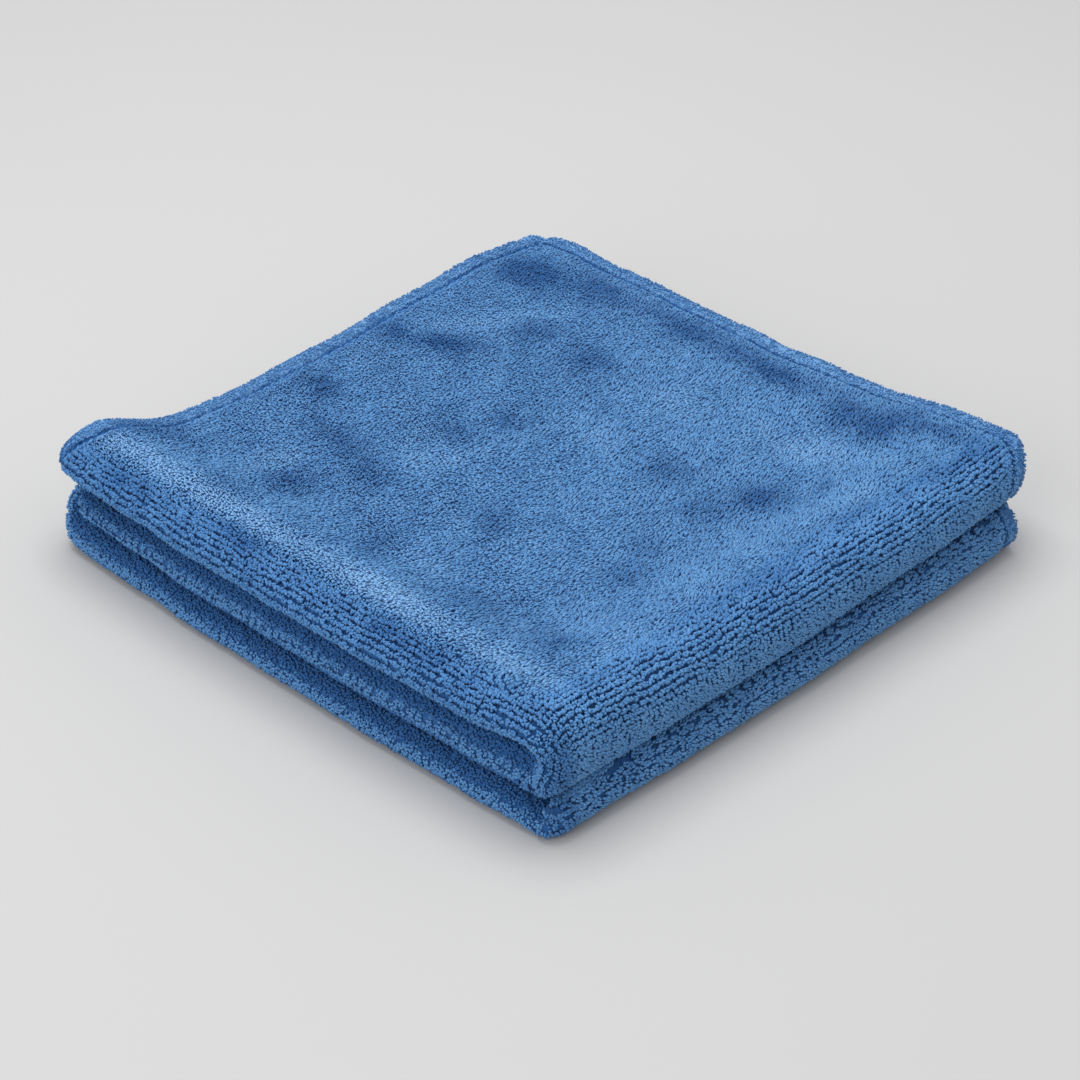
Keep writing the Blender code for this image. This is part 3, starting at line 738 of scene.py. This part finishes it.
def inFold(t):  # painted shade: darker inside the folds, away from the rim and from the far hem
    inside = lips["shadeInside"] * sCurve(t["fromRim"], 0.8, 3.6)
    return lips["shade"] - inside * sCurve(t["away"][:, 0], 1.0, 4.5)


def shows(near, far, openX=None, column=None, end=0.0):
    # Keeps what can be seen of a surface inside the folds: within near of the rim line,
    # far of the far hem or end of another hem, or beyond openX
    def keep(t):
        seen = (t["fromRim"] < near) | (t["away"][:, 0] < far)
        if openX is not None:
            seen = seen | (t["spot"][:, 0] > openX)
        if column is not None:
            seen = seen | (t["away"][:, column] < end)
        return seen & offFloor(t)
    return keep


faceLook = {
    "spacing": 1.62, "firstRow": 0.03, "slant": 1.35, "stray": 26.0, "width": 1.10, "napShare": 1.0,
    "gather": faceGather, "rows": faceRows, "shade": ridgeShade, "length": faceLength,
    "keep": lambda t: t["fromRim"] > -1.0,
}
lowerLook = {**faceLook, "keep": offFloor,
             "gather": lambda t: ridges["gatherLowerFold"] * faceGather(t)}
lipLook = {
    "spacing": 1.51, "firstRow": 0.55, "slant": 0.5, "stray": 60.0, "width": 1.42, "napShare": 0.0,
    "gather": evenly(lips["gather"]), "rows": lambda t: (evenly(0.0)(t), evenly(lips["rows"])(t)),
    "shade": inFold, "length": evenly(lips["length"]),
}

# stretches, side, and what shows of each surface inside the folds and underneath
insideSurfaces = (
    (("top", "upperBend", "second"), "back", shows(7.0, 4.6, column=1, end=5.0)),
    (("second",), "face", shows(6.5, 4.6, openX=91.0)),
    (("leftBend",), "back", lambda t: t["fromStart"] < 9.0),
    (("third", "lowerBend", "bottom"), "back", shows(6.0, 4.6)),
    (("curl",), "face", offFloor),
    (("curl",), "back", shows(5.0, 4.0, column=2, end=4.0)),
)

# the lattices start at the bends; the lower fold's is split where its face turns inwards
anchor = spans["upperBend"][0] - top[0]
topLattice = latticeTufts(halfOf(("top", "upperBend"), "face"), anchor, faceLook, rng)
topTufts = dressTufts(topLattice, faceLook)
lowerFold = halfOf(("third", "lowerBend", "bottom"), "face")
anchor = spans["lowerBend"][0] - spans["third"][0]
lowerLattice = latticeTufts(lowerFold, anchor, lowerLook, rng)
outside = lowerLattice["spot"][:, 0] > 94.5
lowerTufts = dressTufts(pick(lowerLattice, outside), lowerLook)
look = {**lipLook, "keep": shows(5.5, 4.6, openX=91.0)}
edgeGroups = [dressTufts(pick(lowerLattice, ~outside), look)]
for names, side, keep in insideSurfaces:
    look = {**lipLook, "keep": keep}
    edgeGroups.append(dressTufts(latticeTufts(halfOf(names, side), 0, look, rng), look))
edge = {key: np.concatenate([group[key] for group in edgeGroups]) for key in edgeGroups[0]}

topX = topTufts["spot"][:, 0]
third = np.digitize(topX, np.quantile(topX, [1 / 3, 2 / 3]))
nearSide = edge["spot"][:, 1] < 0.0
pilePieces = [strandPiece(name, pick(tufts, which), rng) for name, tufts, which in (
    ("pile_top_left", topTufts, third == 0),
    ("pile_top_middle", topTufts, third == 1),
    ("pile_top_right", topTufts, third == 2),
    ("pile_lower_fold", lowerTufts, slice(None)),
    ("pile_near_edges", edge, nearSide),
    ("pile_far_edges", edge, ~nearSide))]


print("stage: stitches")
stitch = {
    "pitch": 3.0, "length": 2.35, "thick": 0.46, "lift": 0.28, "first": 0.5, "sides": 6,
    "places": np.array([0.0, 0.10, 0.5, 0.90, 1.0]),  # of its ends and three rings along it
    "rises": np.array([-0.6, 0.5, 1.0, 0.5, -0.6]),  # their heights, as shares of lift
}


def stitchRun(line, up):
    # Stitches along one line of sewing: a stretched bead of six sides between even
    # steps of arc length, sunk a little at both ends
    arc = np.append(0.0, np.cumsum(np.linalg.norm(np.diff(line, axis=0), axis=1)))
    starts = np.arange(stitch["first"], arc[-1] - stitch["pitch"], stitch["pitch"])
    at = starts[:, None] + stitch["places"][None, :] * stitch["length"]
    spot, lift = (np.stack([np.interp(at, arc, field[:, axis]) for axis in range(3)], axis=2)
                  for field in (line, up))
    lift = unit(lift)
    spot = spot + lift * (stitch["lift"] * stitch["rises"])[None, :, None]
    wide = np.cross(unit(spot[:, -1:] - spot[:, :1]), lift)
    sides = stitch["sides"]
    here = np.arange(sides)
    after = (here + 1) % sides
    turn = here * np.pi / (sides / 2.0)
    cosine, sine = np.cos(turn)[None, :, None], np.sin(turn)[None, :, None]
    ringSpots = []
    for k in (1, 2, 3):
        outwards = cosine * wide[:, k, None] + sine * lift[:, k, None]
        ringSpots.append(spot[:, k, None] + stitch["thick"] / 2.0 * outwards)
    verts = np.concatenate([spot[:, :1]] + ringSpots + [spot[:, -1:]], axis=1)
    lastRing, tip = 1 + 2 * sides, 1 + 3 * sides
    tris = [np.stack([here * 0, 1 + after, 1 + here], axis=1),
            np.stack([here * 0 + tip, lastRing + here, lastRing + after], axis=1)]
    for first in (1, 1 + sides):
        tris += [np.stack([first + here, first + after, first + sides + after], axis=1),
                 np.stack([first + here, first + sides + after, first + sides + here], axis=1)]
    stitchStarts = (tip + 1) * np.arange(len(starts))[:, None, None]
    return verts.reshape(-1, 3), (np.concatenate(tris)[None] + stitchStarts).reshape(-1, 3)


# sewing round the top and each bend on the far right, and on the top's free hem
seamLine = int(np.argmin(np.abs(hemLines - hem["width"])))
seamColumn, seamStation = half - 1 - seamLine, top[0] + seamLine
seams = [(ground[a:b, seamColumn], normals[a:b, seamColumn])
         for a, b in ((seamStation, spans["upperBend"][1]), spans["lowerBend"])]
seams.append((ground[seamStation, :seamColumn + 1], normals[seamStation, :seamColumn + 1]))
stitchVerts, stitchTris, count = [], [], 0
for line, up in seams:
    verts, tris = stitchRun(line, up)
    stitchVerts.append(verts)
    stitchTris.append(tris + count)
    count += len(verts)
stitchMesh = bpy.data.meshes.new("hem_stitches")
stitchPoints = (np.concatenate(stitchVerts) - planShift) * mm
stitchMesh.from_pydata(stitchPoints.tolist(), [], np.concatenate(stitchTris).tolist())
stitchMesh.shade_smooth()
stitchPiece = newObject("hem_stitches", stitchMesh)
print("   hem_stitches", len(stitchMesh.polygons), "triangles")


print("stage: materials")
blues = {  # values of the inputs of the group and the shader, and ranges from dark to light
    "pile": {"Dark": (0.028, 0.124, 0.345, 1), "Middle": (0.114, 0.306, 0.605, 1),
             "Light": (0.215, 0.440, 0.745, 1), "NapStrength": 0.41, "StrandStrength": 0.10,
             "Drift": 0.08},
    # pileDepth paints the strands darker at the root, and groundDepth paints the ground darker
    # where less light reaches it, both as shade; the deep colour is the ground's painted shade
    # between the tufts
    "pileDepth": (0.42, 0.56), "groundDepth": (0.36, 0.75),
    "deepShade": (0.014, 0.066, 0.215, 1), "groundStrength": 0.7,
    "drift": {"Scale": 70.0, "Detail": 3.0}, "fuzz": {"Scale": 900.0},
    "fuzzBump": {"Strength": 1.0, "Distance": 0.0010},
    "finish": {"Roughness": 0.92, "Specular IOR Level": 0.15, "Sheen Weight": 0.16,
               "Sheen Roughness": 0.5, "Sheen Tint": (0.62, 0.80, 1.0, 1)},
}
black = (0, 0, 0, 1)
thread = {
    "tones": {"First": (0.070, 0.225, 0.480, 1), "Second": (0.110, 0.300, 0.590, 1),
              "Scale": 600.0},
    "finish": {"Roughness": 0.6},
}


def setInputs(node, values):  # socket names and their values
    for label, value in values.items():
        node.inputs[label].default_value = value


def newGroup(name, inputs):  # a node group with these inputs that puts out one colour
    group = bpy.data.node_groups.new(name, "ShaderNodeTree")
    for label, value in inputs.items():
        kind = "NodeSocketColor" if isinstance(value, tuple) else "NodeSocketFloat"
        socket = group.interface.new_socket(name=label, in_out="INPUT", socket_type=kind)
        socket.default_value = value
    group.interface.new_socket(name="Color", in_out="OUTPUT", socket_type="NodeSocketColor")
    return group, group.nodes.new("NodeGroupInput"), group.nodes.new("NodeGroupOutput")


def noiseNode(nodes, links):  # noise that stays with the object
    place, noise = nodes.new("ShaderNodeTexCoord"), nodes.new("ShaderNodeTexNoise")
    links.new(place.outputs["Object"], noise.inputs["Vector"])
    return noise


def blendNode(nodes, links, share, first, second):  # from first to second by share
    node = nodes.new("ShaderNodeMix")
    node.data_type = "RGBA"
    for source, label in ((share, "Factor"), (first, "A"), (second, "B")):
        links.new(source, node.inputs[label])
    return node.outputs["Result"]


def makePileToneAndShade():  # pile colour with painted shade by depth, painted shade and sheen by nap, random tone by strand, and slow drifts over the cloth
    group, start, end = newGroup("pileToneAndShade", {
        "Dark": black, "Middle": black, "Light": black, "Depth": 0.5, "NapAndShade": 0.0, "Strand": 0.5,
        "NapStrength": 0.3, "StrandStrength": 0.3, "Drift": 0.1})
    nodes, links = group.nodes, group.links
    given = start.outputs
    noise = noiseNode(nodes, links)
    setInputs(noise, blues["drift"])

    def maths(kind, a, b):
        node = nodes.new("ShaderNodeMath")
        node.operation = kind
        for socket, value in zip(node.inputs, (a, b)):
            if isinstance(value, (int, float)):
                socket.default_value = value
            else:
                links.new(value, socket)
        return node.outputs[0]

    drift = maths("MULTIPLY", maths("SUBTRACT", noise.outputs["Fac"], 0.5), given["Drift"])
    strand = maths("MULTIPLY", maths("SUBTRACT", given["Strand"], 0.5), given["StrandStrength"])
    napAndShade = maths("MULTIPLY", given["NapAndShade"], given["NapStrength"])
    level = maths("ADD", maths("ADD", given["Depth"], drift), maths("ADD", strand, napAndShade))
    lowShare = maths("MULTIPLY", level, 2.0)
    highShare = maths("MULTIPLY", maths("SUBTRACT", level, 0.5), 2.0)
    low = blendNode(nodes, links, lowShare, given["Dark"], given["Middle"])
    links.new(blendNode(nodes, links, highShare, low, given["Light"]), end.inputs["Color"])
    return group


def makeMottle():  # one colour blended into another by noise
    group, start, end = newGroup("softMottle", {"First": black, "Second": black, "Scale": 6.0})
    nodes, links = group.nodes, group.links
    given = start.outputs
    noise = noiseNode(nodes, links)
    links.new(given["Scale"], noise.inputs["Scale"])
    blend = blendNode(nodes, links, noise.outputs["Fac"], given["First"], given["Second"])
    links.new(blend, end.inputs["Color"])
    return group


pileToneAndShade, softMottle = makePileToneAndShade(), makeMottle()


def groupMaterial(name, group, values, finish):  # a material whose colour comes from a group
    material = bpy.data.materials.new(name)
    material.use_nodes = True
    nodes, links = material.node_tree.nodes, material.node_tree.links
    tone = nodes.new("ShaderNodeGroup")
    tone.node_tree = group
    setInputs(tone, values)
    setInputs(nodes["Principled BSDF"], finish)
    links.new(tone.outputs["Color"], nodes["Principled BSDF"].inputs["Base Color"])
    return material, nodes, links, tone


def plushMaterial(name, values, depth, depthFrom, readers):
    # Plush colours, painted darkest where depthFrom is 0, as shade deep in the pile or where no
    # light reaches; readers are attributes for other inputs
    material, nodes, links, tone = groupMaterial(name, pileToneAndShade, values, blues["finish"])
    spread = nodes.new("ShaderNodeMapRange")
    setInputs(spread, {"To Min": depth[0], "To Max": depth[1]})
    links.new(spread.outputs["Result"], tone.inputs["Depth"])
    for attribute, socket in ((depthFrom, spread.inputs["Value"]),
                              *((name, tone.inputs[label]) for name, label in readers)):
        reader = nodes.new("ShaderNodeAttribute")
        reader.attribute_name = attribute
        links.new(reader.outputs["Fac"], socket)
    return material, nodes, links, tone


# the strands are painted darker at the root as shade, and carry the nap's painted shade and sheen
pileMaterial = plushMaterial("plushPile", blues["pile"], blues["pileDepth"], "along",
                             (("napAndShade", "NapAndShade"), ("tone", "Strand")))[0]
# the ground's darkest colour is painted shade between the tufts, painted lighter by lit where light
# reaches it
groundTones = {**blues["pile"], "Dark": blues["deepShade"], "Middle": blues["pile"]["Dark"],
               "StrandStrength": blues["groundStrength"]}
groundMaterial, nodes, links, tone = plushMaterial(
    "plushGround", groundTones, blues["groundDepth"], "lit", ())

# the ground is fuzzy all over
fuzz, bump = noiseNode(nodes, links), nodes.new("ShaderNodeBump")
setInputs(fuzz, blues["fuzz"])
setInputs(bump, blues["fuzzBump"])
links.new(fuzz.outputs["Fac"], tone.inputs["Strand"])
links.new(fuzz.outputs["Fac"], bump.inputs["Height"])
links.new(bump.outputs["Normal"], nodes["Principled BSDF"].inputs["Normal"])

threadMaterial = groupMaterial("hemThread", softMottle, thread["tones"], thread["finish"])[0]
plushCloth.data.materials.append(groundMaterial)
for piece in pilePieces:
    piece.data.materials.append(pileMaterial)
stitchPiece.data.materials.append(threadMaterial)

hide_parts("cloth")
extras = pilePieces + [stitchPiece]
for piece in [plushCloth] + extras:
    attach(piece, "root")

print("stage: floor, light and camera")
studio = {
    "reach": 4.0, "floorFinish": {"Roughness": 0.9},
    "floorTones": {"First": (0.508, 0.508, 0.506, 1), "Second": (0.498, 0.498, 0.500, 1),
                   "Scale": 6.0},
    "world": {"Color": (1, 1, 1, 1), "Strength": 0.66},
    "overhead": ((-0.24, 0.08, 1.12), (0, 0, 0), 0.85, 9.8),  # spot, aim, size, power
    "fill": ((0.25, -1.05, 0.55), (0, 0, 0.02), 0.8, 4.9),
}
floorMesh = bpy.data.meshes.new("studio_floor")
reach = studio["reach"]
corners = [(-reach, -reach, 0), (reach, -reach, 0), (reach, reach, 0), (-reach, reach, 0)]
floorMesh.from_pydata(corners, [], [(0, 1, 2, 3)])
studioFloor = newObject("studio_floor", floorMesh)
floorLook = groupMaterial("paleFloor", softMottle, studio["floorTones"], studio["floorFinish"])
floorMesh.materials.append(floorLook[0])

world = bpy.data.worlds.new("studio")
bpy.context.scene.world = world
world.use_nodes = True
setInputs(world.node_tree.nodes["Background"], studio["world"])


def areaLight(name, spot, aim, size, power):  # a square light that looks at its aim
    light = bpy.data.lights.new(name, "AREA")
    light.shape = "SQUARE"
    light.size = size
    light.energy = power
    lamp = newObject(name, light)
    lamp.location = spot
    lamp.rotation_euler = (Vector(aim) - Vector(spot)).to_track_quat("-Z", "Y").to_euler()


for name in ("overhead", "fill"):
    areaLight(name, *studio[name])

view = {"azimuth": 44.55, "elevation": 32.0, "distance": 0.688, "lens": 83.3, "sensor": 36.0,
        "target": (0.020742, -0.022763, 0.020)}
az, el = math.radians(view["azimuth"]), math.radians(view["elevation"])
backwards = Vector((math.sin(az) * math.cos(el), -math.cos(az) * math.cos(el), math.sin(el)))
cameraData = bpy.data.cameras.new("camera")
cameraData.lens = view["lens"]
cameraData.sensor_width = view["sensor"]
camera = newObject("camera", cameraData)
camera.location = Vector(view["target"]) + backwards * view["distance"]
camera.rotation_euler = (-backwards).to_track_quat("-Z", "Y").to_euler()
bpy.context.scene.camera = camera
bpy.context.scene.view_settings.view_transform = "Standard"
